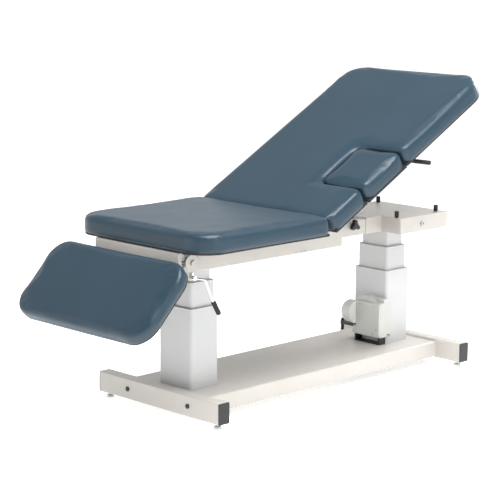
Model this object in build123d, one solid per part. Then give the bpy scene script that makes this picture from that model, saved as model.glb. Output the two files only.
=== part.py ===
from build123d import *
import math
import os

# A powered three-section imaging table: footrest, seat and Fowler back with a drop window,
# carried by two telescopic columns on a low steel base.
# Millimetres. +X runs from the foot end to the head end, +Z up, and the centre plane is Y = 0.
# The model is drawn with X = 0 at the foot crossbar's outer face and moved at the end, so that
# its origin is the bottom centre of its bounding box.

# ---- driving dimensions: base
crossbarLength = 634
crossbarWidth = 51
crossbarHeight = 76
tubeWall = 3
tubeCorner = 5
groundGap = 20
headCrossbarX = 1307
platformWidth = 398
platformHeight = 60
platformDrop = 10
sheetWall = 2.5
capFlange = 4
capPlug = 18
footY = 288
footStudRadius = 5
footPadRadius = 14
footPadHeight = 9
plugY = 161
plugDrop = 37.5
plugStem = 5
plugHead = 9
inletX = 1225
controlBoxX = 820
controlBoxSize = (260, 180, 46)

# ---- columns
columnLengthX = 134
columnWidthY = 172
columnCorner = 12
stageStep = 10
footColumnX = 152
headColumnX = 1196
outerTop = 378
middleTop = 471
middleLength = 300
innerLength = 315
columnWall = 3
glideRingHeight = 6
slideClearance = 0.5
actuatorRadius = 24
actuatorRodRadius = 14
actuatorBottom = 32
actuatorTop = 410
actuatorRodBottom = 150

# ---- upper frame
frameTop = 603
frameDepth = 60
spineHalf = 85
spineRailWidth = 25
spineFootX = -9
trayX = 1091
trayEndX = 1375
trayHalf = 185
deckX = 1000
trayWall = 2.5
seatRailEndX = 758
seatRailDepth = 65
seatRailWidth = 40
seatRailHalf = 185
frontRailX = -95
frontRailSize = 38
frontRailHalf = 215
bumperRadius = 8.5
crossBarWidth = 30
seatBarX = (6, 190)
shortBarX = 470
boltRadius = 9
boltX = 1217
boltDrop = 31
knobX = 918
knobDrop = 16
knobRadius = 13

# ---- cushions
topWidth = 690
footrestWidth = 700
cushionThickness = 73
boardThickness = 9
boardInset = 3
seatTop = 696
seatFootX = -95
seatHeadX = 525
planCorner = 98
edgeRound = 22
sectionGap = 3

# ---- backrest
backLength = 974
hingeRound = 12
backRise = 6
backRest = 28.5
backMax = 65
hingeArmY = 72
hingePinRadius = 3
pinClearance = 0.05
lugThickness = 5
armThickness = 7
lugGap = 0.5
notchMargin = 2
backRailWidth = 24
backRailHeight = 15
backRailLength = 850

# ---- drop window, measured along the back from the hinge and across it
windowStart = 183
windowEnd = 417
windowInner = -127
windowCorner = 34
windowGap = 5
windowHingeRadius = 4

# ---- back release
releaseY = -108
releaseRodRadius = 3.5
handleX = 474
releaseGripLength = 78

# ---- gas strut, pivots given from the back hinge
strutBackX = 233
strutBackZ = -92
strutFrameX = 24
strutFrameZ = -118
strutRadius = 10
strutRodRadius = 4
strutBoreClearance = 0.5
strutLength = 185
strutRodStart = 92
eyeRadius = 8
strutPinRadius = 4
strutSlot = 13

# ---- footrest
footrestLength = 323
footrestThickness = 50
footrestPivotX = -40
footrestPivotZ = 583
footrestReach = 60
footrestRest = 46
footrestArmY = 224
footrestArmWidth = 26
stubPinRadius = 6
toothCount = 9
toothPitch = 10
sectorRadius = 32
toothDepth = 4
pawlClearance = 0.6

# ---- release lever of the footrest
leverX = -38
leverZ = 531
leverRodRadius = 4
leverGripRadius = 8.5
leverGripLength = 50

# ---- gear-motor on the head column
gearboxFaceX = 1074
gearboxNearY = -100
gearboxSideY = 23
gearboxFarY = 43
gearboxBottom = 118
gearboxTop = 256
flareTop = 149
domeY = -20
domeZ = 217
domeRadius = 60
screwRadius = 4.4
screwSpots = [(5, 241), (-71, 239), (32, 142), (-84, 147), (-63, 131)]
motorZ = 206
motorRadius = 45
motorLength = 54
armPlateY = 122

crossbarTop = groundGap + crossbarHeight
platformTop = crossbarTop - platformDrop
platformBottom = platformTop - platformHeight
plugZ = crossbarTop - plugDrop
frameBottom = frameTop - frameDepth
pivotX = seatHeadX + sectionGap + hingeRound
pivotZ = seatTop + backRise - hingeRound
panelTop = hingeRound
panelBottom = panelTop - cushionThickness
footrestPanelTop = seatTop - footrestPivotZ

parts = {}


def block(x0, x1, y0, y1, z0, z1):
    return Pos((x0 + x1) / 2, (y0 + y1) / 2, (z0 + z1) / 2) * Box(x1 - x0, y1 - y0, z1 - z0)


def rod(start, end, radius):
    """A round bar between two points."""
    start, end = Vector(*start), Vector(*end)
    plane = Plane(origin=start, z_dir=end - start)
    return extrude(plane * Circle(radius), amount=(end - start).length)


def upright(shape, bottom, top):
    """A flat outline in XY raised from one height to another."""
    return Pos(0, 0, bottom) * extrude(shape, amount=top - bottom)


def mirrored(solids):
    """Each solid and its copy across the centre plane."""
    return list(solids) + [mirror(s, about=Plane.XZ) for s in solids]


def group(solids):
    """Several separate solids as one node."""
    return Compound([solid for shape in solids for solid in shape.solids()])


def square_tube_y(x0, x1, z0, z1, half, wall, corner):
    """A rectangular tube lying across the table, centred on Y = 0."""
    plane = Plane(origin=((x0 + x1) / 2, half, (z0 + z1) / 2), x_dir=(1, 0, 0), z_dir=(0, -1, 0))
    outer = extrude(plane * RectangleRounded(x1 - x0, z1 - z0, corner), amount=2 * half)
    hole = RectangleRounded(x1 - x0 - 2 * wall, z1 - z0 - 2 * wall, max(corner - wall, 0.5))
    return outer - extrude(plane * hole, amount=2 * half)


def square_tube_x(x0, x1, y0, y1, z0, z1, wall, corner):
    """A rectangular tube lying along the table."""
    plane = Plane(origin=(x0, (y0 + y1) / 2, (z0 + z1) / 2), x_dir=(0, 1, 0), z_dir=(1, 0, 0))
    outer = extrude(plane * RectangleRounded(y1 - y0, z1 - z0, corner), amount=x1 - x0)
    hole = RectangleRounded(y1 - y0 - 2 * wall, z1 - z0 - 2 * wall, max(corner - wall, 0.5))
    return outer - extrude(plane * hole, amount=x1 - x0)


# ---- base ------------------------------------------------------------------------------------

def crossbar(x):
    half = crossbarLength / 2
    bar = square_tube_y(x, x + crossbarWidth, groundGap, crossbarTop, half, tubeWall, tubeCorner)
    for y in (footY, -footY):
        bar -= rod((x + crossbarWidth / 2, y, groundGap - 1),
                   (x + crossbarWidth / 2, y, groundGap + tubeWall + 1), footStudRadius + 0.3)
    for y in (plugY, -plugY):
        wallX = x if x == 0 else x + crossbarWidth
        bar -= rod((wallX - tubeWall - 1, y, plugZ), (wallX + tubeWall + 1, y, plugZ), plugStem)
    return bar


parts["foot_crossbar"] = crossbar(0)
parts["head_crossbar"] = crossbar(headCrossbarX)

caps = []
for x in (0, headCrossbarX):
    centre = (x + crossbarWidth / 2, -crossbarLength / 2, groundGap + crossbarHeight / 2)
    plane = Plane(origin=centre, x_dir=(1, 0, 0), z_dir=(0, -1, 0))
    cap = extrude(plane * RectangleRounded(crossbarWidth, crossbarHeight, tubeCorner), amount=capFlange)
    cap = fillet(cap.faces().sort_by(Axis.Y)[0].edges(), 1.5)
    bore = (crossbarWidth - 2 * tubeWall - 0.4, crossbarHeight - 2 * tubeWall - 0.4)
    cap += extrude(plane * RectangleRounded(bore[0], bore[1], 1.8), amount=-capPlug)
    caps.append(cap)
parts["crossbar_end_caps"] = group(mirrored(caps))

plugs = []
for x, side in ((0, -1), (headCrossbarX + crossbarWidth, 1)):
    for y in (plugY, -plugY):
        head = rod((x, y, plugZ), (x + side * 4, y, plugZ), plugHead)
        head = fillet(head.edges().group_by(Axis.X)[0 if side < 0 else -1], 1.6)
        plugs.append(head + rod((x, y, plugZ), (x - side * 9, y, plugZ), plugStem - 0.2))
parts["crossbar_bolt_plugs"] = group(plugs)

platformHalf = platformWidth / 2
platformX0 = crossbarWidth
outer = block(platformX0, headCrossbarX, -platformHalf, platformHalf, platformBottom, platformTop)
outer = fillet(outer.edges().filter_by(Axis.X).group_by(Axis.Z)[-1], 4)
inner = block(platformX0 - 1, headCrossbarX + 1, -platformHalf + sheetWall, platformHalf - sheetWall,
              platformBottom - 1, platformTop - sheetWall)
inletZ = platformBottom + platformHeight / 2
platform = outer - inner
for x in (footColumnX, headColumnX):
    platform -= rod((x, 0, platformBottom), (x, 0, platformTop + 1), actuatorRadius + 1)
platform -= block(inletX - 24, inletX + 24, platformHalf - 10, platformHalf + 1, inletZ - 14, inletZ + 14)
parts["platform_cover"] = platform

inletFace = block(inletX - 31, inletX + 31, platformHalf, platformHalf + 2, inletZ - 17, inletZ + 17)
inletBody = block(inletX - 23.5, inletX + 23.5, platformHalf - 26, platformHalf, inletZ - 13.5, inletZ + 13.5)
inletCup = block(inletX - 12, inletX + 12, platformHalf - 14, platformHalf + 3, inletZ - 8, inletZ + 8)
pins = [block(inletX + dx - 1, inletX + dx + 1, platformHalf - 16, platformHalf - 2, inletZ - 2, inletZ + 2)
        for dx in (-7, 0, 7)]
inlet = (inletFace + inletBody) - inletCup
for pin in pins:
    inlet += pin
parts["mains_inlet"] = inlet

boxLength, boxWidth, boxHeight = controlBoxSize
controlBox = block(controlBoxX, controlBoxX + boxLength, -boxWidth / 2, boxWidth / 2,
                   platformTop - sheetWall - boxHeight, platformTop - sheetWall)
controlBox = fillet(controlBox.edges().filter_by(Axis.Z), 6)
parts["control_box"] = controlBox


def column_tube(x, stage, bottom, top, lid=0):
    """One column stage: a rounded rectangular tube, each stage a step smaller all round."""
    sizeX = columnLengthX - 2 * stageStep * stage
    sizeY = columnWidthY - 2 * stageStep * stage
    corner = columnCorner - 2 * stage
    place = Pos(x, 0, 0)
    tube = upright(place * RectangleRounded(sizeX, sizeY, corner), bottom, top)
    hole = place * RectangleRounded(sizeX - 2 * columnWall, sizeY - 2 * columnWall, corner - columnWall)
    return tube - upright(hole, bottom - 1, top - lid)


def glide_ring(x, stage, top):
    """The plastic guide ring that fills the step between one stage and the next at its top."""
    sizeX = columnLengthX - 2 * stageStep * stage - 2 * columnWall - 0.2
    sizeY = columnWidthY - 2 * stageStep * stage - 2 * columnWall - 0.2
    nextX = columnLengthX - 2 * stageStep * (stage + 1) + 2 * slideClearance
    nextY = columnWidthY - 2 * stageStep * (stage + 1) + 2 * slideClearance
    corner = columnCorner - 2 * stage
    place = Pos(x, 0, 0)
    ring = upright(place * RectangleRounded(sizeX, sizeY, corner - columnWall), top - 24, top - 2)
    hole = place * RectangleRounded(nextX, nextY, corner - 3 + slideClearance)
    return ring - upright(hole, top - 25, top)


columns = {"foot": footColumnX, "head": headColumnX}
outerRings = []
for end, x in columns.items():
    parts[end + "_outer_column"] = column_tube(x, 0, platformTop, outerTop)
    outerRings.append(glide_ring(x, 0, outerTop))
    parts[end + "_middle_column"] = column_tube(x, 1, middleTop - middleLength, middleTop)
    parts[end + "_middle_glide_ring"] = glide_ring(x, 1, middleTop)
    parts[end + "_inner_column"] = column_tube(x, 2, frameBottom - innerLength, frameBottom, lid=6)
parts["outer_glide_rings"] = group(outerRings)

tubes, rods = [], []
for x in columns.values():
    barrel = rod((x, 0, actuatorBottom), (x, 0, actuatorTop), actuatorRadius)
    bore = rod((x, 0, actuatorBottom + 6), (x, 0, actuatorTop + 1), actuatorRodRadius + slideClearance)
    foot = block(x - 40, x + 40, -40, 40, actuatorBottom - 2, actuatorBottom + 4)
    tubes.append(barrel + foot - bore)
    rods.append(rod((x, 0, actuatorRodBottom), (x, 0, frameBottom - 6), actuatorRodRadius))
parts["actuator_tubes"] = group(tubes)
parts["actuator_rods"] = group(rods)

# gear-motor: worm gearbox on the foot side of the head column, its motor lying across the table
columnFaceX = headColumnX - columnLengthX / 2
gearboxBackX = columnFaceX - 0.1
coverThickness = 7
coverBackX = gearboxFaceX + coverThickness
housing = block(coverBackX, gearboxBackX, gearboxNearY, gearboxSideY, gearboxBottom, gearboxTop)
housing = fillet(housing.edges().filter_by(Axis.X), 6)
domeX = coverBackX + 4
dome = rod((domeX, domeY, domeZ), (gearboxBackX, domeY, domeZ), domeRadius)
housing += dome & block(domeX, gearboxBackX, gearboxNearY, gearboxSideY, domeZ - 20, domeZ + domeRadius)
housing += block(gearboxBackX - 26, gearboxBackX, gearboxNearY + 2, gearboxNearY + 62,
                 gearboxTop - 8, gearboxTop + 14)
housing += block(coverBackX, gearboxBackX - 8, gearboxSideY - 1, gearboxFarY, gearboxBottom, flareTop)
cheekEndX = columnFaceX + 16
cheek = block(coverBackX, cheekEndX, gearboxNearY, -columnWidthY / 2 - 0.5, gearboxBottom, gearboxTop - 8)
cheek = fillet(cheek.edges().filter_by(Axis.Y).group_by(Axis.X)[-1], 8)
notch = ((cheekEndX - 16, gearboxNearY - 1, gearboxBottom), (cheekEndX - 16, -columnWidthY / 2, gearboxBottom))
parts["gearbox_housing"] = housing + cheek - rod(*notch, 11)

coverY = (gearboxNearY + 1, gearboxSideY, gearboxFarY - 1)
coverZ = (gearboxBottom + 1, flareTop, gearboxTop - 3)
coverPlane = Plane(origin=(gearboxFaceX, 0, 0), x_dir=(0, 1, 0), z_dir=(1, 0, 0))
coverShape = make_face(Polyline((coverY[0], coverZ[0]), (coverY[2], coverZ[0]), (coverY[2], coverZ[1]),
                                (coverY[1], coverZ[1]), (coverY[1], coverZ[2]), (coverY[0], coverZ[2]), close=True))
coverShape = fillet(coverShape.vertices(), 8)
cover = extrude(coverPlane * coverShape, amount=coverThickness)
cover = fillet(cover.faces().sort_by(Axis.X)[0].edges(), 2)
for y, z in screwSpots:
    cover -= rod((gearboxFaceX - 1, y, z), (gearboxFaceX + 3, y, z), screwRadius + 0.6)
parts["gearbox_cover"] = cover
screws = []
for y, z in screwSpots:
    head = rod((gearboxFaceX + 0.5, y, z), (gearboxFaceX + 3, y, z), screwRadius)
    socket = Plane(origin=(gearboxFaceX + 0.5, y, z), z_dir=(1, 0, 0)) * RegularPolygon(2, 6)
    screws.append(head - extrude(socket, amount=1.8))
parts["gearbox_screws"] = group(screws)

flangeRadius = motorRadius + 2
motorX = columnFaceX - 2 - flangeRadius
motor = rod((motorX, gearboxSideY, motorZ), (motorX, gearboxSideY + motorLength, motorZ), motorRadius)
motor = fillet(motor.edges().group_by(Axis.Y)[-1], 16)
flange = rod((motorX, gearboxSideY, motorZ), (motorX, gearboxSideY + 9, motorZ), flangeRadius)
motor += fillet(flange.edges(), 1.5)
# the flange stands clear of the flared foot of the gearbox
parts["motor_can"] = motor

# feet under the gearbox, and an arm with an upright end plate beyond the motor
legX = (gearboxFaceX + 16, columnFaceX - 4)
bracket = block(*legX, gearboxNearY + 12, gearboxFarY, platformTop, platformTop + 4)
for y in (gearboxNearY + 12, gearboxFarY - 8):
    bracket += block(*legX, y, y + 8, platformTop, gearboxBottom)
armZ = (gearboxBottom + 22, gearboxBottom + 34)
bracket += block(gearboxFaceX + 16, gearboxFaceX + 40, gearboxFarY, armPlateY, *armZ)
bracket += block(gearboxFaceX + 22, gearboxFaceX + 34, armPlateY - 4, armPlateY, gearboxBottom - 4, gearboxBottom + 46)
parts["motor_bracket"] = bracket

# levelling feet: threaded stud with a round pad, screwed into the underside of each crossbar
feet = {}
for name, x, y in (("foot_near", 0, -1), ("foot_far", 0, 1), ("head_near", 1, -1), ("head_far", 1, 1)):
    cx = crossbarWidth / 2 + x * headCrossbarX
    cy = y * footY
    stud = rod((cx, cy, footPadHeight), (cx, cy, groundGap + 40), footStudRadius)
    nut = extrude(Plane(origin=(cx, cy, footPadHeight + 3)) * RegularPolygon(8.5, 6), amount=5)
    pad = rod((cx, cy, 0), (cx, cy, footPadHeight), footPadRadius)
    pad = fillet(pad.edges().group_by(Axis.Z)[-1], 3)
    feet["levelling_foot_" + name] = group([stud + nut, pad])
parts.update(feet)

# ---- upper frame -----------------------------------------------------------------------------

spineRails = [square_tube_x(spineFootX, deckX + 70, -spineHalf, -spineHalf + spineRailWidth,
                            frameBottom, frameTop, tubeWall, 3)]
parts["spine_rails"] = group(mirrored(spineRails))

seatRails = [square_tube_x(spineFootX, seatRailEndX, -seatRailHalf, -seatRailHalf + seatRailWidth,
                           frameTop - seatRailDepth, frameTop, tubeWall, 4)]
parts["seat_rails"] = group(mirrored(seatRails))

seatBoardBottom = seatTop - cushionThickness
crossBars = [block(x, x + crossBarWidth, -seatRailHalf, seatRailHalf, frameTop, seatBoardBottom)
             for x in seatBarX]
shortBar = block(shortBarX, shortBarX + crossBarWidth, -seatRailHalf, -spineHalf + spineRailWidth,
                 frameTop, seatBoardBottom)
parts["seat_cross_bars"] = group(crossBars + mirrored([shortBar]))

frontRailZ1 = seatBoardBottom - 2
frontRailZ0 = frontRailZ1 - frontRailSize
frontRail = square_tube_y(frontRailX, frontRailX + frontRailSize, frontRailZ0, frontRailZ1,
                          frontRailHalf, tubeWall, 4)
for y in (-130, 130):
    frontRail += block(frontRailX + frontRailSize, spineFootX, y - 20, y + 20, frontRailZ0 + 4, frontRailZ1 - 14)
    frontRail += block(spineFootX - 6, spineFootX, y - 55, y + 55, frameTop - seatRailDepth, frameTop)
parts["front_rail"] = frontRail

# hinge plates close the ends of the front rail and carry the footrest's stub pins
plateThickness = 5
plateY0 = -frontRailHalf - plateThickness
plateOutline = make_hull(
    (Sketch() + Pos(frontRailX + 8, frontRailZ1 - 8) * Circle(8) + Pos(frontRailX + 8, frontRailZ0 + 4) * Circle(8)
     + Pos(footrestPivotX, footrestPivotZ) * Circle(15) + Pos(leverX, leverZ) * Circle(13)).edges())
xzPlane = Plane(origin=(0, plateY0, 0), x_dir=(1, 0, 0), z_dir=(0, -1, 0))
plate = extrude(xzPlane * plateOutline, amount=-plateThickness)
farPlateHinge = mirror(plate, about=Plane.XZ)
plate -= rod((leverX, plateY0 - 1, leverZ), (leverX, plateY0 + plateThickness + 1, leverZ),
             leverRodRadius + pinClearance)
stubPin = rod((footrestPivotX, plateY0 + plateThickness, footrestPivotZ),
              (footrestPivotX, -footrestArmY - 14, footrestPivotZ), stubPinRadius)
pinHead = rod((footrestPivotX, -footrestArmY - 8.5, footrestPivotZ),
              (footrestPivotX, -footrestArmY - 14, footrestPivotZ), stubPinRadius + 4)
stub = stubPin + pinHead
parts["footrest_hinge_plates"] = group([plate + stub, farPlateHinge + mirror(stub, about=Plane.XZ)])

# head tray: a folded sheet-steel box with a narrow neck over the spine
trayOuter = block(trayX, trayEndX, -trayHalf, trayHalf, frameBottom, frameTop)
trayOuter = fillet(trayOuter.edges().filter_by(Axis.Z), 5)
trayInner = block(trayX + trayWall, trayEndX - trayWall, -trayHalf + trayWall, trayHalf - trayWall,
                  frameBottom - 1, frameTop - trayWall)
neck = block(deckX, trayX + 10, -spineHalf - trayWall - 0.5, spineHalf + trayWall + 0.5, frameBottom,
             frameTop + trayWall)
neckInner = block(deckX - 1, trayX + trayWall, -spineHalf - 0.25, spineHalf + 0.25, frameBottom - 1, frameTop + 0.2)
tray = (trayOuter - trayInner) + (neck - neckInner)
tray -= block(trayX - 1, trayX + trayWall + 1, -spineHalf, spineHalf, frameBottom - 1, frameTop)
tray -= block(1044, 1086, -5, 5, frameTop - 5, frameTop + 10)
for x, y in ((1136, 38), (1136, -38), (1350, 38), (1350, -38)):
    tray -= rod((x, y, frameTop - 5), (x, y, frameTop + 5), 3.5)
parts["head_tray"] = tray

bumperTop = pivotZ + panelBottom - 0.5
bumperSpots = [(trayX + 14, 152), (trayX + 14, -152), (1340, 152), (1340, -152)]
bumpers = []
for x, y in bumperSpots:
    rubber = rod((x, y, frameTop + 4), (x, y, bumperTop), bumperRadius)
    rubber = fillet(rubber.edges().group_by(Axis.Z)[-1], 2)
    rubber += rod((x, y, frameTop), (x, y, frameTop + 4), bumperRadius - 1.5)
    bumpers.append(rubber)
parts["bumpers"] = group(bumpers)

boltZ = frameTop - boltDrop
boltHead = rod((boltX, -trayHalf - 7, boltZ), (boltX, -trayHalf, boltZ), boltRadius)
boltHead = fillet(boltHead.edges().group_by(Axis.Y)[0], 3)
boltHead -= extrude(Plane(origin=(boltX, -trayHalf - 7, boltZ), z_dir=(0, 1, 0)) * RegularPolygon(4, 6), amount=4)
boltHead += rod((boltX, -trayHalf, boltZ), (boltX, -trayHalf + 16, boltZ), 5)
holes = rod((boltX, -trayHalf - 1, boltZ), (boltX, -trayHalf + trayWall + 1, boltZ), 5.1)
parts["head_tray"] = tray - holes - mirror(holes, about=Plane.XZ)
parts["tray_bolts"] = group(mirrored([boltHead]))

# the fixed hinge arms rise from the spine into pockets in the back cushion's end
armBase = block(pivotX - 14, pivotX + 14, -hingeArmY - 12, -hingeArmY + 12, frameTop, frameTop + 5)
arm = block(pivotX - 8, pivotX + 8, -hingeArmY - armThickness / 2, -hingeArmY + armThickness / 2,
            frameTop + 5, pivotZ)
armY0, armY1 = -hingeArmY - armThickness / 2, -hingeArmY + armThickness / 2
armEye = rod((pivotX, armY0, pivotZ), (pivotX, armY1, pivotZ), 8)
arm = armBase + arm + armEye
arm -= rod((pivotX, armY0 - 1, pivotZ), (pivotX, armY1 + 1, pivotZ), hingePinRadius + pinClearance)
parts["back_hinge_arms"] = group(mirrored([arm]))

frameEyeX, frameEyeZ = pivotX + strutFrameX, pivotZ + strutFrameZ
strutEar = block(frameEyeX - 12, frameEyeX + 12, -14, -9, frameEyeZ - 15, frameEyeZ + 12)
strutBase = block(frameEyeX - 16, frameEyeX + 16, -spineHalf + spineRailWidth, spineHalf - spineRailWidth,
                  frameEyeZ - 20, frameEyeZ - 15)
strutPin = rod((frameEyeX, -17, frameEyeZ), (frameEyeX, 17, frameEyeZ), strutPinRadius)
parts["strut_bracket"] = strutBase + strutEar + mirror(strutEar, about=Plane.XZ) + strutPin


def panel_outline(x0, x1, width, corner, rounded="both"):
    """A cushion's plan: a rectangle with large corners at the named end, or at both."""
    shape = Pos((x0 + x1) / 2, 0) * Rectangle(x1 - x0, width)
    corners = shape.vertices()
    if rounded == "foot":
        corners = corners.group_by(Axis.X)[0]
    elif rounded == "head":
        corners = corners.group_by(Axis.X)[-1]
    return fillet(corners, corner)


seatBoard = upright(panel_outline(seatFootX + boardInset, seatHeadX - boardInset, topWidth - 2 * boardInset,
                                  planCorner - boardInset, "foot"), seatBoardBottom, seatBoardBottom + boardThickness)
parts["seat_board"] = seatBoard
seatCushion = upright(panel_outline(seatFootX, seatHeadX, topWidth, planCorner, "foot"),
                      seatBoardBottom + boardThickness, seatTop)
parts["seat_cushion"] = fillet(seatCushion.faces().sort_by(Axis.Z)[-1].edges(), edgeRound)

# the clamp knob on the near side of the spine
knobZ = frameTop - knobDrop
knobY = -spineHalf - 12
knobPlane = Plane(origin=(knobX, knobY, knobZ), x_dir=(1, 0, 0), z_dir=(0, -1, 0))
lobes = Sketch() + Circle(knobRadius)
for i in range(3):
    lobes += Rot(0, 0, 120 * i + 90) * Pos(15, 0) * Circle(8)
knob = extrude(knobPlane * lobes, amount=16)
knob = fillet(knob.faces().sort_by(Axis.Y)[0].edges(), 2)
knob -= rod((knobX, knobY + 1, knobZ), (knobX, knobY - 9, knobZ), 4)
parts["clamp_knob"] = knob
parts["clamp_screw"] = rod((knobX, knobY - 9, knobZ), (knobX, -spineHalf + 14, knobZ), 4)
screwHole = rod((knobX, -spineHalf - 1, knobZ), (knobX, -spineHalf + 15, knobZ), 4 + pinClearance)
nearSpine = spineRails[0] - screwHole
parts["spine_rails"] = group([nearSpine, mirror(spineRails[0], about=Plane.XZ)])

# ---- backrest: drawn flat with the hinge at its origin, then turned to its angle ---------------

backEnd = backLength - hingeRound
boardTop = panelBottom + boardThickness
windowHinge = (windowInner + windowGap / 2, panelBottom - windowHingeRadius - 1)


def window_outline(grow):
    """The drop window's plan, or its opening when grown by the gap."""
    x0, x1 = windowStart - grow, windowEnd + grow
    y0, y1 = -topWidth / 2 - (60 if grow else 0), windowInner + grow
    shape = Pos((x0 + x1) / 2, (y0 + y1) / 2) * Rectangle(x1 - x0, y1 - y0)
    return fillet(shape.vertices().group_by(Axis.Y)[-1], windowCorner + grow)


def back_panel(inset, bottom, top):
    plan = panel_outline(-hingeRound + inset, backEnd - inset, topWidth - 2 * inset, planCorner - inset, "head")
    solid = upright(plan, bottom, top)
    return solid - upright(window_outline(windowGap + inset), bottom - 1, top + 1)


cushion = back_panel(0, boardTop, panelTop)
hingeEdge = cushion.faces().sort_by(Axis.Z)[-1].edges().group_by(Axis.X)[0]
cushion = fillet(hingeEdge, hingeRound - 0.5)
pocketHalf = armThickness / 2 + lugGap + lugThickness + notchMargin
pocketReach = 11 + notchMargin
for y in (hingeArmY, -hingeArmY):
    cushion -= block(-hingeRound - 1, pocketReach, y - pocketHalf, y + pocketHalf, panelBottom, 9.5)
board = back_panel(boardInset, panelBottom, boardTop)
for y in (hingeArmY, -hingeArmY):
    board -= block(-hingeRound - 1, pocketReach, y - pocketHalf, y + pocketHalf, panelBottom - 1, boardTop + 1)

railTop = panelBottom
railBottom = panelBottom - backRailHeight
rail = square_tube_x(pocketReach, backRailLength, -hingeArmY - backRailWidth / 2, -hingeArmY + backRailWidth / 2,
                     railBottom, railTop, 2, 2.5)
for side in (-1, 1):
    near = -hingeArmY + side * (armThickness / 2 + lugGap)
    far = near + side * lugThickness
    y0, y1 = min(near, far), max(near, far)
    lug = block(-7, 11, y0, y1, railBottom + 1, 0) + block(-7, pocketReach, y0, y1, railBottom + 1, railTop)
    lug += rod((0, y0, 0), (0, y1, 0), 8)
    rail += lug - rod((0, y0 - 1, 0), (0, y1 + 1, 0), hingePinRadius)
backRails = mirrored([rail])
pinHalf = armThickness / 2 + lugGap + lugThickness
hingePins = [rod((0, y - pinHalf, 0), (0, y + pinHalf, 0), hingePinRadius) for y in (hingeArmY, -hingeArmY)]

strutEarHalf = strutSlot + strutPinRadius + 5
earPlate = block(strutBackX - strutEarHalf, strutBackX + strutEarHalf, -16, -11,
                 strutBackZ - strutEarHalf, panelBottom - 4)
earPlate -= rod((strutBackX, -17, strutBackZ), (strutBackX, -10, strutBackZ), strutSlot + strutPinRadius)
strutLug = block(strutBackX - strutEarHalf, strutBackX + strutEarHalf, -16, 16, panelBottom - 4, panelBottom)
strutLug += earPlate + mirror(earPlate, about=Plane.XZ)

hingeLeaf = block(windowStart + 12, windowEnd - 12, windowHinge[0] + windowHingeRadius + 0.5, windowHinge[0] + 26,
                  panelBottom - 2, panelBottom)
knuckles = []
knuckleCount = 5
knuckleLength = (windowEnd - windowStart - 60) / knuckleCount
for i in range(knuckleCount):
    x0 = windowStart + 30 + i * knuckleLength + 0.3
    tube = rod((x0, *windowHinge), (x0 + knuckleLength - 0.6, *windowHinge), windowHingeRadius)
    side = 1 if i % 2 == 0 else -1
    y0, y1 = sorted((windowHinge[0], windowHinge[0] + side * (windowHingeRadius + 2)))
    tube += block(x0, x0 + knuckleLength - 0.6, y0, y1, panelBottom - 2.5, panelBottom - 0.5)
    tube -= rod((x0 - 1, *windowHinge), (x0 + knuckleLength + 1, *windowHinge), 1.5)
    knuckles.append(tube)
backLeaf = hingeLeaf
for tube in knuckles[0::2]:
    backLeaf += tube
hingeWire = rod((windowStart + 30, *windowHinge), (windowEnd - 30, *windowHinge), 1.45)

windowBoard = upright(window_outline(0), panelBottom, boardTop)
windowLeafEdge = windowHinge[0] - windowHingeRadius - 0.5
windowLeaf = block(windowStart + 12, windowEnd - 12, windowHinge[0] - 26, windowLeafEdge,
                   panelBottom - 2, panelBottom)
for tube in knuckles[1::2]:
    windowLeaf += tube
windowCushion = upright(window_outline(0), boardTop, panelTop)
windowCushion = fillet(windowCushion.faces().sort_by(Axis.Z)[-1].edges(), edgeRound)

# back release: a turning bar beside the near rail, with a bent handle and a rubber grip
releaseZ = panelBottom - 9
bend = (handleX + 14, -200, releaseZ - 4)
gripStart = (handleX + 26, -262, releaseZ - 24)
gripEnd = (handleX + 58, -345, releaseZ - 48)
path = FilletPolyline((130, releaseY, releaseZ), (handleX, releaseY, releaseZ), bend, gripStart, gripEnd, radius=14)
releaseRod = sweep(Plane(origin=path @ 0, z_dir=path % 0) * Circle(releaseRodRadius), path=path)
cam = block(130, 136, releaseY - 9, releaseY + 9, releaseZ - 7, releaseZ + 6)
releaseRod += fillet(cam.edges().filter_by(Axis.X), 3)
gripDirection = path % 1
gripPlane = Plane(origin=path @ 1 - gripDirection * releaseGripLength, z_dir=gripDirection)
releaseGrip = extrude(gripPlane * Circle(8.5), amount=releaseGripLength + 6)
releaseGrip -= extrude(gripPlane * Circle(releaseRodRadius), amount=releaseGripLength)
releaseGrip = fillet(releaseGrip.edges().group_by(Axis.Y)[0], 3)

onBack = Pos(pivotX, 0, pivotZ) * Rot(0, -backRest, 0)
parts["back_board"] = onBack * board
parts["back_cushion"] = onBack * cushion
parts["back_rails"] = group([onBack * r for r in backRails])
parts["back_hinge_pins"] = group([onBack * p for p in hingePins])
parts["strut_lug"] = onBack * strutLug
parts["window_hinge"] = group([onBack * backLeaf, onBack * hingeWire])
parts["window_board"] = group([onBack * windowBoard, onBack * windowLeaf])
parts["window_cushion"] = onBack * windowCushion
parts["back_release_rod"] = onBack * releaseRod
parts["back_release_grip"] = onBack * releaseGrip

# ---- gas strut between the frame bracket and the back lug --------------------------------------

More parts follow.
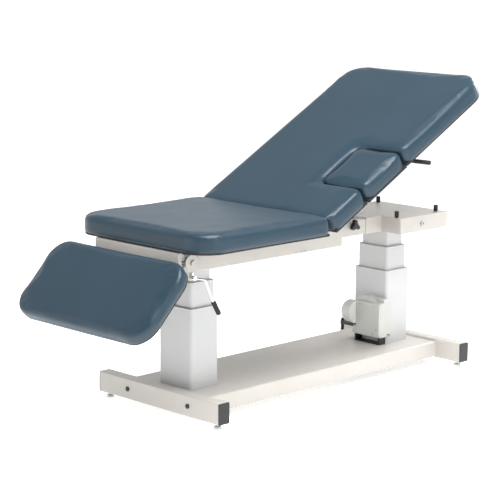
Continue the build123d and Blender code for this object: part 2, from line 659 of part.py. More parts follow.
angle = math.radians(backRest)
backEyeX = pivotX + strutBackX * math.cos(angle) - strutBackZ * math.sin(angle)
backEyeZ = pivotZ + strutBackX * math.sin(angle) + strutBackZ * math.cos(angle)
strutSpan = math.hypot(backEyeX - frameEyeX, backEyeZ - frameEyeZ)
strutTilt = math.degrees(math.atan2(backEyeZ - frameEyeZ, backEyeX - frameEyeX))
onStrut = Pos(frameEyeX, 0, frameEyeZ) * Rot(0, -strutTilt, 0)
cylinder = rod((24, 0, 0), (strutLength, 0, 0), strutRadius) + rod((4, 0, 0), (25, 0, 0), 6)
cylinder -= rod((28, 0, 0), (strutLength + 1, 0, 0), strutRodRadius + strutBoreClearance)
cylinder += rod((0, -8.5, 0), (0, 8.5, 0), eyeRadius + 1)
cylinder -= rod((0, -10, 0), (0, 10, 0), strutPinRadius + pinClearance)
parts["strut_cylinder"] = onStrut * cylinder
strutRod = rod((strutRodStart, 0, 0), (strutSpan - 3, 0, 0), strutRodRadius)
strutRod += rod((strutSpan, -8, 0), (strutSpan, 8, 0), eyeRadius)
strutRod += rod((strutSpan, -18, 0), (strutSpan, 18, 0), strutPinRadius)
parts["strut_rod"] = onStrut * strutRod

# ---- footrest: drawn flat with its pivot at the origin, then lowered to its angle ---------------

restTop = footrestPanelTop
restBottom = restTop - footrestThickness
footrestPlan = panel_outline(-footrestReach - footrestLength, -footrestReach, footrestWidth, planCorner - 12)
footrestCushion = upright(footrestPlan, restBottom + boardThickness, restTop)
footrestCushion = fillet(footrestCushion.faces().sort_by(Axis.Z)[-1].edges(), edgeRound - 4)
boardPlan = panel_outline(-footrestReach - footrestLength + boardInset, -footrestReach - boardInset,
                          footrestWidth - 2 * boardInset, planCorner - 12 - boardInset)
footrestBoard = upright(boardPlan, restBottom, restBottom + boardThickness)

armY = -footrestArmY
armPlane = Plane(origin=(0, armY + 4, 0), x_dir=(1, 0, 0), z_dir=(0, -1, 0))
armHalf = footrestArmWidth / 2
armShape = Sketch() + Circle(15) + Pos(-42, 5) * Rectangle(84, footrestArmWidth)
armShape += Pos(-84, (restBottom - 8) / 2) * Rectangle(footrestArmWidth, restBottom + 8)
armShape += Pos(-84 - armHalf - 90, restBottom - 12) * Rectangle(220, 24)
footArm = extrude(armPlane * armShape, amount=8)
footArm -= rod((0, armY + 10, 0), (0, armY - 10, 0), stubPinRadius + pinClearance)

sector = Circle(sectorRadius)
for i in range(toothCount):
    at = 250 + i * toothPitch + footrestRest
    sector -= Rot(0, 0, at) * Pos(sectorRadius, 0) * Rectangle(2 * toothDepth, 3)
sectorPlane = Plane(origin=(0, armY - 4, 0), x_dir=(1, 0, 0), z_dir=(0, -1, 0))
sector = extrude(sectorPlane * sector, amount=4)
sector -= rod((0, armY, 0), (0, armY - 10, 0), stubPinRadius + 4.5)
onFoot = Pos(footrestPivotX, 0, footrestPivotZ) * Rot(0, -footrestRest, 0)
parts["footrest_cushion"] = onFoot * footrestCushion
parts["footrest_board"] = onFoot * footrestBoard
parts["footrest_arms"] = group([onFoot * footArm, onFoot * mirror(footArm, about=Plane.XZ)])
parts["footrest_sector"] = onFoot * sector

# release lever: a hub through the near hinge plate, a pawl toward the sector and a bent handle
leverY = armY - 12
hub = rod((leverX, plateY0 + plateThickness + 6, leverZ), (leverX, leverY - 6, leverZ), leverRodRadius)
pawlAngle = math.atan2(footrestPivotZ - leverZ, footrestPivotX - leverX)
pawlReach = math.hypot(footrestPivotZ - leverZ, footrestPivotX - leverX) - sectorRadius - pawlClearance
pawlPlane = Plane(origin=(leverX, armY - 4, leverZ), x_dir=(1, 0, 0), z_dir=(0, -1, 0))
pawl = extrude(pawlPlane * (Rot(0, 0, math.degrees(pawlAngle)) * Pos(pawlReach / 2, 0) * Rectangle(pawlReach, 7)),
               amount=4)
collar = rod((leverX, armY - 3.5, leverZ), (leverX, leverY - 6, leverZ), 8)
leverPath = FilletPolyline((leverX, leverY, leverZ), (leverX + 52, leverY, leverZ - 13),
                           (leverX + 84, leverY - 2, leverZ - 88), (leverX + 112, leverY - 4, leverZ - 138), radius=16)
leverRod = sweep(Plane(origin=leverPath @ 0, z_dir=leverPath % 0) * Circle(leverRodRadius), path=leverPath)
parts["footrest_lever"] = hub + pawl + collar + leverRod
gripAt = leverPath % 1
gripStartAt = leverPath @ 1 - gripAt * leverGripLength
footGrip = extrude(Plane(origin=gripStartAt, z_dir=gripAt) * Circle(leverGripRadius), amount=leverGripLength + 6)
footGrip -= extrude(Plane(origin=gripStartAt, z_dir=gripAt) * Circle(leverRodRadius), amount=leverGripLength)
footGrip = fillet(footGrip.edges().group_by(Axis.Z)[0], 3)
parts["footrest_lever_grip"] = footGrip

# ---- the whole table moves so that its box's bottom centre is the origin ------------------------

boxes = [shape.bounding_box() for shape in parts.values()]
shiftX = -(min(b.min.X for b in boxes) + max(b.max.X for b in boxes)) / 2
shiftY = -(min(b.min.Y for b in boxes) + max(b.max.Y for b in boxes)) / 2
shiftZ = -min(b.min.Z for b in boxes)
shift = Pos(shiftX, shiftY, shiftZ)

os.makedirs("parts", exist_ok=True)
for name, shape in parts.items():
    export_step(shift * shape, f"parts/{name}.step")
print(len(parts), "nodes; shift", round(shiftX, 3), round(shiftY, 3), round(shiftZ, 3))
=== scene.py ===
import math

import bpy
from mathutils import Matrix, Vector


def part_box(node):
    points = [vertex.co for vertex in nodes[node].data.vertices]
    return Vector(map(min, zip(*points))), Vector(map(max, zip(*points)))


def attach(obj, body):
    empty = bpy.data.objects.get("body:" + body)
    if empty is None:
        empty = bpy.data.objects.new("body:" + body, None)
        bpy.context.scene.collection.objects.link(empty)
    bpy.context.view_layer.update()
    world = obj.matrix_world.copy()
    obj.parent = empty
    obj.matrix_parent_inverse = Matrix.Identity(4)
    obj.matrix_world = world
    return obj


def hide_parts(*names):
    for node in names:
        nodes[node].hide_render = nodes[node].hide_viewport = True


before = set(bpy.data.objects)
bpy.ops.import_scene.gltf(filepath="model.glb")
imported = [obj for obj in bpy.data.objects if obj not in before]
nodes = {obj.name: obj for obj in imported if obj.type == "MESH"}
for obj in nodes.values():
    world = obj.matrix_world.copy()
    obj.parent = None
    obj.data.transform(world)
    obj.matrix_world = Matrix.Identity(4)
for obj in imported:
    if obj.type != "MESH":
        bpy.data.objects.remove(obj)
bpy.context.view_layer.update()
print("frame loaded:", len(nodes), "nodes")


# small helpers; a colour Mix node has several sockets of one name, so its own are picked by number
mixA, mixB, mixed = 6, 7, 2


def fromHex(code):
    # sRGB hex to the linear colour that shaders want
    channels = [int(code[i:i + 2], 16) / 255 for i in (1, 3, 5)]
    linear = [c / 12.92 if c <= 0.04045 else ((c + 0.055) / 1.055) ** 2.4 for c in channels]
    return (*linear, 1)


def addNode(tree, kind, inputs=None, **settings):
    node = tree.nodes.new(kind)
    for key, value in settings.items():
        setattr(node, key, value)
    for key, value in (inputs or {}).items():
        if isinstance(value, bpy.types.NodeSocket):
            tree.links.new(value, node.inputs[key])
        else:
            node.inputs[key].default_value = value
    return node


def startMaterial(name):
    material = bpy.data.materials.new(name)
    material.use_nodes = True
    tree = material.node_tree
    place = addNode(tree, "ShaderNodeTexCoord").outputs["Object"]
    return material, tree, tree.nodes["Principled BSDF"], place


def activate(obj):
    bpy.ops.object.select_all(action="DESELECT")
    obj.select_set(True)
    bpy.context.view_layer.objects.active = obj


def pickEdges(obj, test):
    # selects the edges whose two ends pass the test, ready for edit mode
    activate(obj)
    bpy.ops.object.mode_set(mode="EDIT")
    bpy.ops.mesh.select_all(action="DESELECT")
    bpy.ops.mesh.select_mode(type="EDGE")
    bpy.ops.object.mode_set(mode="OBJECT")
    points = obj.data.vertices
    for edge in obj.data.edges:
        edge.select = test(points[edge.vertices[0]].co, points[edge.vertices[1]].co)
    bpy.ops.object.mode_set(mode="EDIT")


def bevelEdges(obj, test, width, segments):
    pickEdges(obj, test)
    bpy.ops.mesh.bevel(offset=width, offset_type="OFFSET", segments=segments, affect="EDGES")
    bpy.ops.object.mode_set(mode="OBJECT")


def applyModifier(obj, kind, **settings):
    activate(obj)
    modifier = obj.modifiers.new(kind.title(), kind)
    for key, value in settings.items():
        setattr(modifier, key, value)
    bpy.ops.object.modifier_apply(modifier=modifier.name)


def block(name, low, high):
    bpy.ops.mesh.primitive_cube_add(size=1)
    obj = bpy.context.active_object
    obj.name = obj.data.name = name
    low, high = Vector(low), Vector(high)
    size = high - low
    obj.data.transform(Matrix.Translation((low + high) / 2) @ Matrix.Diagonal((*size, 1)))
    return obj


def settle(obj, place, body, material):
    # puts a piece made flat into its place on the table, with the place in its mesh
    obj.data.transform(place)
    obj.data.update()
    obj.data.materials.clear()
    obj.data.materials.append(material)
    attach(obj, body)
    return obj


# materials

def coatedSteel(name, look):
    # an even coat with faint orange peel: soft wide highlights that break up a little
    material, tree, shader, place = startMaterial(name)
    cloud = addNode(tree, "ShaderNodeTexNoise", {"Vector": place, "Scale": 1 / look["cloud"], "Detail": 3})
    tone = addNode(tree, "ShaderNodeMix", {"Factor": cloud.outputs["Fac"]}, data_type="RGBA")
    tone.inputs[mixA].default_value = fromHex(look["dark"])
    tone.inputs[mixB].default_value = fromHex(look["light"])
    tree.links.new(tone.outputs[mixed], shader.inputs["Base Color"])
    smudge = addNode(tree, "ShaderNodeTexNoise", {"Vector": place, "Scale": 1 / look["smudge"], "Detail": 4})
    rough = addNode(tree, "ShaderNodeMapRange", {"Value": smudge.outputs["Fac"], "To Min": look["rough"][0],
                                                 "To Max": look["rough"][1]})
    tree.links.new(rough.outputs[0], shader.inputs["Roughness"])
    peel = addNode(tree, "ShaderNodeTexNoise", {"Vector": place, "Scale": 1 / look["peel"], "Detail": 2})
    bump = addNode(tree, "ShaderNodeBump", {"Height": peel.outputs["Fac"], "Strength": look["bump"],
                                            "Distance": 0.0004})
    tree.links.new(bump.outputs[0], shader.inputs["Normal"])
    return material


def paddedVinyl(name, look):
    # embossed upholstery vinyl: a pebbled grain that scatters the highlight, with painted shade darkening the grain
    # valleys in the base colour, soft ripples where the cover gives
    material, tree, shader, place = startMaterial(name)
    cloud = addNode(tree, "ShaderNodeTexNoise", {"Vector": place, "Scale": 1 / look["cloud"], "Detail": 4})
    tone = addNode(tree, "ShaderNodeMix", {"Factor": cloud.outputs["Fac"]}, data_type="RGBA")
    tone.inputs[mixA].default_value = fromHex(look["dark"])
    tone.inputs[mixB].default_value = fromHex(look["light"])
    pebble = addNode(tree, "ShaderNodeTexVoronoi", {"Vector": place, "Scale": 1 / look["grain"]},
                     feature="DISTANCE_TO_EDGE")
    # painted shade: the base colour is multiplied darker in the valleys of the grain, and the same map sets the
    # grain's bump height
    valleyShade = addNode(tree, "ShaderNodeMapRange", {"Value": pebble.outputs["Distance"], "From Max": 0.18,
                                                  "To Min": look["valleyShade"], "To Max": 1.0})
    shaded = addNode(tree, "ShaderNodeMix", {"Factor": 1.0}, data_type="RGBA", blend_type="MULTIPLY")
    tree.links.new(tone.outputs[mixed], shaded.inputs[mixA])
    tree.links.new(valleyShade.outputs[0], shaded.inputs[mixB])
    tree.links.new(shaded.outputs[mixed], shader.inputs["Base Color"])
    handled = addNode(tree, "ShaderNodeTexNoise", {"Vector": place, "Scale": 1 / look["handled"], "Detail": 5})
    rough = addNode(tree, "ShaderNodeMapRange", {"Value": handled.outputs["Fac"], "To Min": look["rough"][0],
                                                 "To Max": look["rough"][1]})
    tree.links.new(rough.outputs[0], shader.inputs["Roughness"])
    ripple = addNode(tree, "ShaderNodeTexNoise", {"Vector": place, "Scale": 1 / look["ripple"], "Detail": 2})
    wide = addNode(tree, "ShaderNodeBump", {"Height": ripple.outputs["Fac"], "Strength": look["rippleBump"],
                                            "Distance": 0.002})
    fine = addNode(tree, "ShaderNodeBump", {"Height": valleyShade.outputs[0], "Strength": look["grainBump"],
                                            "Distance": 0.0003, "Normal": wide.outputs[0]})
    tree.links.new(fine.outputs[0], shader.inputs["Normal"])
    shader.inputs["Sheen Weight"].default_value = look["sheen"]
    shader.inputs["Sheen Roughness"].default_value = 0.5
    return material


def mouldedPlastic(name, look):
    # moulded polymer with a spark-eroded texture: a dull sheen with fine speckle
    material, tree, shader, place = startMaterial(name)
    cloud = addNode(tree, "ShaderNodeTexNoise", {"Vector": place, "Scale": 1 / look["cloud"], "Detail": 3})
    tone = addNode(tree, "ShaderNodeMix", {"Factor": cloud.outputs["Fac"]}, data_type="RGBA")
    tone.inputs[mixA].default_value = fromHex(look["dark"])
    tone.inputs[mixB].default_value = fromHex(look["light"])
    tree.links.new(tone.outputs[mixed], shader.inputs["Base Color"])
    speckle = addNode(tree, "ShaderNodeTexNoise", {"Vector": place, "Scale": 1 / look["speckle"], "Detail": 2})
    rough = addNode(tree, "ShaderNodeMapRange", {"Value": speckle.outputs["Fac"], "To Min": look["rough"][0],
                                                 "To Max": look["rough"][1]})
    tree.links.new(rough.outputs[0], shader.inputs["Roughness"])
    bump = addNode(tree, "ShaderNodeBump", {"Height": speckle.outputs["Fac"], "Strength": look["bump"],
                                            "Distance": 0.0003})
    tree.links.new(bump.outputs[0], shader.inputs["Normal"])
    return material


def bareMetal(name, look):
    # plated or turned steel: fine lines along the length stretch the highlight, and hands leave dull patches
    material, tree, shader, place = startMaterial(name)
    lined = addNode(tree, "ShaderNodeMapping", {"Vector": place, "Scale": look["stretch"]})
    lines = addNode(tree, "ShaderNodeTexNoise", {"Vector": lined.outputs[0], "Scale": 1 / look["line"], "Detail": 3})
    patch = addNode(tree, "ShaderNodeTexNoise", {"Vector": place, "Scale": 1 / look["patch"], "Detail": 4})
    tone = addNode(tree, "ShaderNodeMix", {"Factor": patch.outputs["Fac"]}, data_type="RGBA")
    tone.inputs[mixA].default_value = fromHex(look["dark"])
    tone.inputs[mixB].default_value = fromHex(look["light"])
    tree.links.new(tone.outputs[mixed], shader.inputs["Base Color"])
    rough = addNode(tree, "ShaderNodeMapRange", {"Value": patch.outputs["Fac"], "To Min": look["rough"][0],
                                                 "To Max": look["rough"][1]})
    tree.links.new(rough.outputs[0], shader.inputs["Roughness"])
    bump = addNode(tree, "ShaderNodeBump", {"Height": lines.outputs["Fac"], "Strength": look["bump"],
                                            "Distance": 0.0001})
    tree.links.new(bump.outputs[0], shader.inputs["Normal"])
    shader.inputs["Metallic"].default_value = 1
    return material


# warm light grey powder coat on the frame, a touch darker in patches where it is handled
powderCoat = coatedSteel("warm_grey_powder_coat", {"dark": "#bab6b0", "light": "#c8c4be", "cloud": 0.25,
                                                   "smudge": 0.05, "rough": (0.28, 0.4), "peel": 0.0016,
                                                   "bump": 0.25})
# silver-white paint on the column stages, smoother and cooler than the frame
columnPaint = coatedSteel("silver_white_column_paint", {"dark": "#c0c0c0", "light": "#cccdcf", "cloud": 0.3,
                                                        "smudge": 0.08, "rough": (0.3, 0.42), "peel": 0.002,
                                                        "bump": 0.12})
# grey paint over a sand casting: coarse skin under the paint
castPaint = coatedSteel("grey_cast_paint", {"dark": "#bdbeba", "light": "#cdcec9", "cloud": 0.06, "smudge": 0.02,
                                            "rough": (0.45, 0.62), "peel": 0.0012, "bump": 0.7})
# duller grey paint on the rolled motor can
motorPaint = coatedSteel("grey_motor_paint", {"dark": "#cdcfcb", "light": "#dadbd8", "cloud": 0.08, "smudge": 0.03,
                                              "rough": (0.35, 0.5), "peel": 0.001, "bump": 0.3})
# slate-blue vinyl of the four cushions, its grain valleys darkened as painted shade
vinyl = paddedVinyl("slate_blue_vinyl", {"dark": "#1b3545", "light": "#243f4f", "cloud": 0.22, "grain": 0.0014,
                                         "valleyShade": 0.82, "handled": 0.09, "rough": (0.30, 0.40), "ripple": 0.12,
                                         "rippleBump": 0.12, "grainBump": 0.35, "sheen": 0.03})
# plywood stained black under the cushions, with its grain just showing
blackBoard = mouldedPlastic("black_stained_plywood", {"dark": "#17181a", "light": "#26272a", "cloud": 0.02,
                                                      "speckle": 0.0025, "rough": (0.55, 0.75), "bump": 0.5})
# black ABS end caps, plugs and boxes
blackPlastic = mouldedPlastic("black_abs_plastic", {"dark": "#141518", "light": "#1e2023", "cloud": 0.03,
                                                    "speckle": 0.0008, "rough": (0.36, 0.5), "bump": 0.25})
# nitrile rubber grips and pads, matt and slightly bloomed
nitrileRubber = mouldedPlastic("nitrile_rubber", {"dark": "#1b1c1e", "light": "#2b2c2e", "cloud": 0.012,
                                                  "speckle": 0.0015, "rough": (0.6, 0.8), "bump": 0.4})
# acetal glide rings between the column stages
acetal = mouldedPlastic("white_acetal", {"dark": "#b9bab8", "light": "#c8c9c7", "cloud": 0.04, "speckle": 0.001,
                                         "rough": (0.35, 0.45), "bump": 0.15})
# zinc plate on screws, rods and hinge leaves
zincPlate = bareMetal("zinc_plate", {"dark": "#a9abac", "light": "#cfd1d2", "patch": 0.012, "line": 0.002,
                                     "stretch": (1, 1, 8), "rough": (0.25, 0.42), "bump": 0.2})
# hard chrome on the strut and actuator rods
hardChrome = bareMetal("hard_chrome", {"dark": "#c9cbcd", "light": "#e2e4e6", "patch": 0.03, "line": 0.001,
                                       "stretch": (1, 1, 12), "rough": (0.08, 0.18), "bump": 0.1})
# phosphated dark steel of tubes and small screws
darkSteel = bareMetal("phosphated_steel", {"dark": "#3a3b3d", "light": "#545557", "patch": 0.02, "line": 0.002,
                                           "stretch": (1, 1, 6), "rough": (0.35, 0.55), "bump": 0.25})
print("materials ready")


# the CAD nodes that stay take their finish by name

finishes = {
    "frame_coat": powderCoat, "column_coat": columnPaint, "cast_grey": castPaint, "motor_grey": motorPaint,
    "dark_metal": darkSteel, "vinyl": vinyl, "black_board": blackBoard, "black_plastic": blackPlastic,
    "black_rubber": nitrileRubber, "guide_plastic": acetal, "bright_steel": zincPlate, "chrome": hardChrome,
}
# these went through the same paint line as the frame
painted = ("footrest_sector", "footrest_arms", "back_hinge_arms")
for name, node in nodes.items():
    for used in node.material_slots:
        slotName = used.material.name.split(".")[0] if used.material else ""
        used.material = powderCoat if name in painted else finishes.get(slotName, powderCoat)
print("finishes set")


# cushions: each is drawn flat, puffed up by the cloth solver, then put in its place
# the cover's cloth values, and how many steps round each kind of edge
cover = {"quality": 5, "mass": 0.3, "stretch": 40, "shear": 20, "bend": 3, "frames": 20, "smoothing": 8,
         "cornerSteps": 10, "hingeSteps": 4, "softSteps": 6, "tuckedSteps": 3}


def planCorners(obj, corners):
    # rounds the upright edges, which are over 10 mm tall, each group with its own radius
    for radius, test in corners:
        bevelEdges(obj, lambda a, b, test=test: abs(a.z - b.z) > 0.01 and test(a), radius, cover["cornerSteps"])


def puff(obj, pad):
    activate(obj)
    obj.data.remesh_voxel_size = pad["voxel"]
    obj.data.use_remesh_fix_poles = False
    bpy.ops.object.voxel_remesh()
    lowest = min(v.co.z for v in obj.data.vertices)
    start = [v.co.copy() for v in obj.data.vertices]
    pinned = obj.vertex_groups.new(name="pinned")
    pinned.add([v.index for v in obj.data.vertices if v.co.z < lowest + pad["held"]], 1.0, "REPLACE")
    cloth = obj.modifiers.new("Cloth", "CLOTH")
    cloth.settings.quality = cover["quality"]
    cloth.settings.mass = cover["mass"]
    cloth.settings.tension_stiffness = cloth.settings.compression_stiffness = cover["stretch"]
    cloth.settings.shear_stiffness = cover["shear"]
    cloth.settings.bending_stiffness = cover["bend"]
    cloth.settings.vertex_group_mass = "pinned"
    cloth.settings.use_pressure = True
    cloth.settings.uniform_pressure_force = pad["pressure"]
    cloth.settings.effector_weights.gravity = 0
    cloth.collision_settings.use_collision = False
    cloth.collision_settings.use_self_collision = False
    cloth.point_cache.frame_start, cloth.point_cache.frame_end = 1, cover["frames"]
    for step in range(1, cover["frames"] + 1):
        bpy.context.scene.frame_set(step)
    activate(obj)
    bpy.ops.object.modifier_apply(modifier="Cloth")
    bpy.context.scene.frame_set(1)
    for v, was in zip(obj.data.vertices, start):
        for axis, cap in enumerate((pad["sideCap"], pad["sideCap"], pad["topCap"])):
            moved = v.co[axis] - was[axis]
            v.co[axis] = was[axis] + max(-cap, min(cap, moved))
    applyModifier(obj, "SMOOTH", factor=0.5, iterations=cover["smoothing"])
    applyModifier(obj, "SUBSURF", levels=1)
    activate(obj)
    bpy.ops.object.shade_smooth()


def cushion(name, pad):
    # a block with rounded plan, a soft top edge and a tighter bottom edge, puffed and placed
    obj = block(name, pad["low"], pad["high"])
    planCorners(obj, pad["corners"])
    for cut in pad.get("cuts", []):
        cutter = block("cutter", cut["low"], cut["high"])
        planCorners(cutter, cut["corners"])
        applyModifier(obj, "BOOLEAN", operation="DIFFERENCE", object=cutter, solver="EXACT")
        bpy.data.objects.remove(cutter)
        planCorners(obj, cut["lips"])
    top, bottom, hingeX = pad["high"][2], pad["low"][2], pad["low"][0] + 0.001
    close = 1e-5

    def onTop(a, b):
        return abs(a.z - top) < close and abs(b.z - top) < close

    def onBottom(a, b):
        return abs(a.z - bottom) < close and abs(b.z - bottom) < close

    if "hingeEdge" in pad:
        bevelEdges(obj, lambda a, b: onTop(a, b) and a.x < hingeX and b.x < hingeX, pad["hingeEdge"],
                   cover["hingeSteps"])
    bevelEdges(obj, onTop, pad["softEdge"], cover["softSteps"])
    bevelEdges(obj, onBottom, pad["tuckedEdge"], cover["tuckedSteps"])
    puff(obj, pad)
    settle(obj, pad["place"], pad["body"], vinyl)
    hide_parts(pad["stands"])
    print(name, "done:", len(obj.data.polygons), "faces")


levelPlace = Matrix.Identity(4)
backPlace = Matrix.Translation((0.023998, 0.001545, 0.690)) @ Matrix.Rotation(math.radians(-28.5), 4, "Y")
footPlace = Matrix.Translation((-0.556002, 0.001545, 0.583)) @ Matrix.Rotation(math.radians(-46), 4, "Y")

seatPad = {"low": (-0.611, -0.3434, 0.624), "high": (0.009, 0.3466, 0.6935), "place": levelPlace,
           "body": "upper_frame", "stands": "seat_cushion", "voxel": 0.007, "held": 0.006, "pressure": 1.6,
           "sideCap": 0.0008, "topCap": 0.004, "softEdge": 0.021, "tuckedEdge": 0.010,
           "corners": [(0.098, lambda a: a.x < -0.5), (0.020, lambda a: a.x > 0)]}
cushion("seat_padding", seatPad)

backPad = {"low": (-0.012, -0.345, -0.060), "high": (0.962, 0.345, 0.0095), "place": backPlace,
           "body": "backrest", "stands": "back_cushion", "voxel": 0.0082, "held": 0.006, "pressure": 1.6,
           "sideCap": 0.0008, "topCap": 0.004, "hingeEdge": 0.006, "softEdge": 0.020, "tuckedEdge": 0.010,
           "corners": [(0.098, lambda a: a.x > 0.9), (0.020, lambda a: a.x < 0)],
           "cuts": [{"low": (0.178, -0.405, -0.1), "high": (0.422, -0.122, 0.1),
                     "corners": [(0.039, lambda a: a.y > -0.2)],
                     "lips": [(0.034, lambda a: 0.15 < a.x < 0.45 and a.y < -0.34)]}]}
cushion("back_padding", backPad)

windowPad = {"low": (0.183, -0.345, -0.060), "high": (0.417, -0.127, 0.0095), "place": backPlace,
             "body": "drop_window", "stands": "window_cushion", "voxel": 0.005, "held": 0.006, "pressure": 1.6,
             "sideCap": 0.001, "topCap": 0.004, "softEdge": 0.020, "tuckedEdge": 0.010,
             "corners": [(0.034, lambda a: True)]}
cushion("window_padding", windowPad)

footPad = {"low": (-0.383, -0.350, 0.0635), "high": (-0.060, 0.350, 0.1115), "place": footPlace,
           "body": "footrest", "stands": "footrest_cushion", "voxel": 0.006, "held": 0.005, "pressure": 1.6,
           "sideCap": 0.002, "topCap": 0.004, "softEdge": 0.017, "tuckedEdge": 0.010,
           "corners": [(0.086, lambda a: True)]}
cushion("footrest_padding", footPad)


# small fittings that the frame carries

def turned(name, steps, place, body, material, sides=24):
    # a lathe-turned piece: a disc is pulled along Z and its rim resized at every step (height, radius)
    bpy.ops.mesh.primitive_circle_add(vertices=sides, radius=steps[0][1], fill_type="NGON", location=(0, 0, 0))
    obj = bpy.context.active_object
    obj.name = obj.data.name = name
    bpy.ops.object.mode_set(mode="EDIT")
    bpy.ops.mesh.select_all(action="SELECT")
    for (height, radius), (nextHeight, nextRadius) in zip(steps, steps[1:]):
        bpy.ops.mesh.extrude_region_move(TRANSFORM_OT_translate={"value": (0, 0, nextHeight - height)})
        bpy.ops.transform.resize(value=(nextRadius / radius, nextRadius / radius, 1),
                                 center_override=(0, 0, nextHeight))
    bpy.ops.mesh.select_all(action="SELECT")
    bpy.ops.mesh.normals_make_consistent(inside=False)
    bpy.ops.object.mode_set(mode="OBJECT")
    obj.data.transform(Matrix.Translation((0, 0, steps[0][0])))
    bpy.ops.object.shade_smooth_by_angle(angle=math.radians(35))
    return settle(obj, place, body, material)


def aim(at, along):
    # a place matrix: Z of the piece points along the given direction
    return Matrix.Translation(at) @ Vector(along).to_track_quat("Z", "Y").to_matrix().to_4x4()


# rubber grips over the two release levers, ribbed for the fingers
ribbedGrip = {"radius": 0.0088, "groove": 0.0074, "mouth": 0.0066, "tip": 0.0045, "pitch": 0.009, "reach": 0.018,
              "lip": 0.001, "plain": 0.002, "ribEnd": 0.62, "grooveFrom": 0.75, "grooveTo": 0.92}
for name, stands, body, axis in (("footrest_ribbed_grip", "footrest_lever_grip", "footrest_release", 2),
                                 ("back_ribbed_grip", "back_release_grip", "back_release", 1)):
    points = [v.co.copy() for v in nodes[stands].data.vertices]
    top = max(points, key=lambda p: p[axis])
    end = min(points, key=lambda p: p[axis])
    near = [p for p in points if (p - top).length < ribbedGrip["reach"]]
    far = [p for p in points if (p - end).length < ribbedGrip["reach"]]
    headAt = sum(near, Vector()) / len(near)
    tipAt = sum(far, Vector()) / len(far)
    length = (tipAt - headAt).length
    steps = [(0, ribbedGrip["mouth"]), (ribbedGrip["lip"], ribbedGrip["groove"])]
    ribs = int(length / ribbedGrip["pitch"])
    step = (length - 2 * ribbedGrip["plain"]) / ribs
    for rib in range(ribs):
        z = ribbedGrip["plain"] + rib * step
        steps += [(z, ribbedGrip["radius"]), (z + step * ribbedGrip["ribEnd"], ribbedGrip["radius"]),
                  (z + step * ribbedGrip["grooveFrom"], ribbedGrip["groove"]),
                  (z + step * ribbedGrip["grooveTo"], ribbedGrip["groove"])]
    steps += [(length - ribbedGrip["lip"], ribbedGrip["groove"]), (length, ribbedGrip["tip"])]
    grip = turned(name, steps, aim(headAt, tipAt - headAt), body, nitrileRubber)
    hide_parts(stands)

# pan-head screws in the near hinge plate of the footrest, and low on the near seat rail, each sunk a little
panHead = {"steps": [(0, 0.0036), (0.0012, 0.0036), (0.0021, 0.0028), (0.0024, 0.0012), (0.0014, 0.0010)],
           "sides": 16, "sunk": 0.0002,
           "hingePlate": [(-0.6097, 0.5948), (-0.6015, 0.5955), (-0.6083, 0.5867)],
           "rail": [(-0.0014, 0.546), (0.0276, 0.544), (0.0433, 0.544)]}
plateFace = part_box("footrest_hinge_plates")[0].y + panHead["sunk"]
for index, (x, z) in enumerate(panHead["hingePlate"]):
    turned(f"hinge_plate_screw_{index}", panHead["steps"], aim((x, plateFace, z), (0, -1, 0)), "upper_frame",
           darkSteel, sides=panHead["sides"])
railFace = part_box("seat_rails")[0].y + panHead["sunk"]
for index, (x, z) in enumerate(panHead["rail"]):
    turned(f"rail_screw_{index}", panHead["steps"], aim((x, railFace, z), (0, -1, 0)), "upper_frame",
           zincPlate, sides=panHead["sides"])
print("fittings done")


# stage, light and camera

studio = {"floorSize": 60, "floorColour": "#f4f4f3", "floorRough": 0.9, "floorGlow": 0.57,
          "wallGlow": 0.85, "ceilingGlow": 0.52, "ceilingFrom": 0.7, "backdrop": 1.0}
bpy.ops.mesh.primitive_plane_add(size=studio["floorSize"])
floor = bpy.context.active_object
floor.name = "studio_floor"
paper, tree, shader, place = startMaterial("pale_paper_sweep")
shader.inputs["Base Color"].default_value = fromHex(studio["floorColour"])
shader.inputs["Roughness"].default_value = studio["floorRough"]
shader.inputs["Emission Color"].default_value = (1, 1, 1, 1)
shader.inputs["Emission Strength"].default_value = studio["floorGlow"]
floor.data.materials.append(paper)

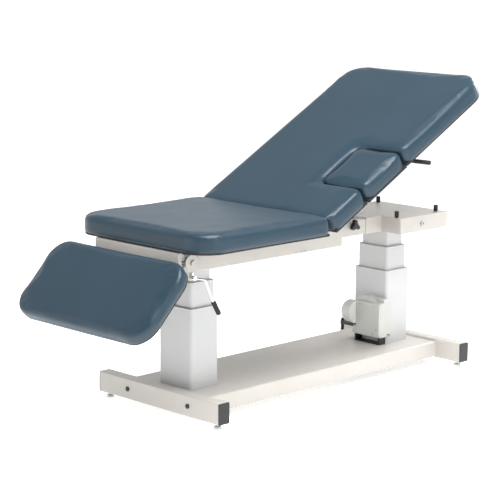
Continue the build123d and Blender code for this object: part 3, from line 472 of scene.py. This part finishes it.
sky = bpy.data.worlds.new("studio")
bpy.context.scene.world = sky
sky.use_nodes = True
skyTree = sky.node_tree
seen = addNode(skyTree, "ShaderNodeLightPath").outputs["Is Camera Ray"]
heading = addNode(skyTree, "ShaderNodeTexCoord").outputs["Generated"]
facing = addNode(skyTree, "ShaderNodeSeparateXYZ", {"Vector": heading})
# bright low walls under a darker ceiling
dome = addNode(skyTree, "ShaderNodeMapRange", {"Value": facing.outputs["Z"], "From Max": studio["ceilingFrom"],
                                               "To Min": studio["wallGlow"], "To Max": studio["ceilingGlow"]})
strength = addNode(skyTree, "ShaderNodeMapRange", {"Value": seen, "To Min": dome.outputs[0],
                                                   "To Max": studio["backdrop"]})
skyTree.nodes["Background"].inputs["Color"].default_value = (1, 1, 1, 1)
skyTree.links.new(strength.outputs[0], skyTree.nodes["Background"].inputs["Strength"])

lamps = {
    "top_softbox": {"at": (-0.2, -1.3, 3.6), "aim": (0, 0, 0.4), "size": 2.6, "power": 165},
    "side_softbox": {"at": (-0.4, -4.2, 1.6), "aim": (-0.3, 0, 0.4), "size": 2.2, "power": 17},
    "rear_softbox": {"at": (3.0, 0.2, 1.8), "aim": (0.6, 0, 0.5), "size": 1.4, "power": 62},
    "left_fill": {"at": (-4.6, 1.6, 1.4), "aim": (0, 0, 0.3), "size": 2.4, "power": 22},
}
for name, lamp in lamps.items():
    bpy.ops.object.light_add(type="AREA", location=lamp["at"])
    light = bpy.context.active_object
    light.name = name
    light.data.shape = "DISK"
    light.data.size = lamp["size"]
    light.data.energy = lamp["power"]
    light.rotation_euler = (Vector(lamp["aim"]) - Vector(lamp["at"])).to_track_quat("-Z", "Y").to_euler()

stand = {"at": (-4.52533, -4.56163, 1.70697), "turn": (79.60442, -0.32455, -44.33829), "lens": 126.625, "film": 36}
bpy.ops.object.camera_add(location=stand["at"], rotation=[math.radians(a) for a in stand["turn"]])
camera = bpy.context.active_object
camera.data.lens = stand["lens"]
camera.data.sensor_width = stand["film"]
bpy.context.scene.camera = camera
bpy.context.scene.view_settings.view_transform = "Standard"
print("stage set")
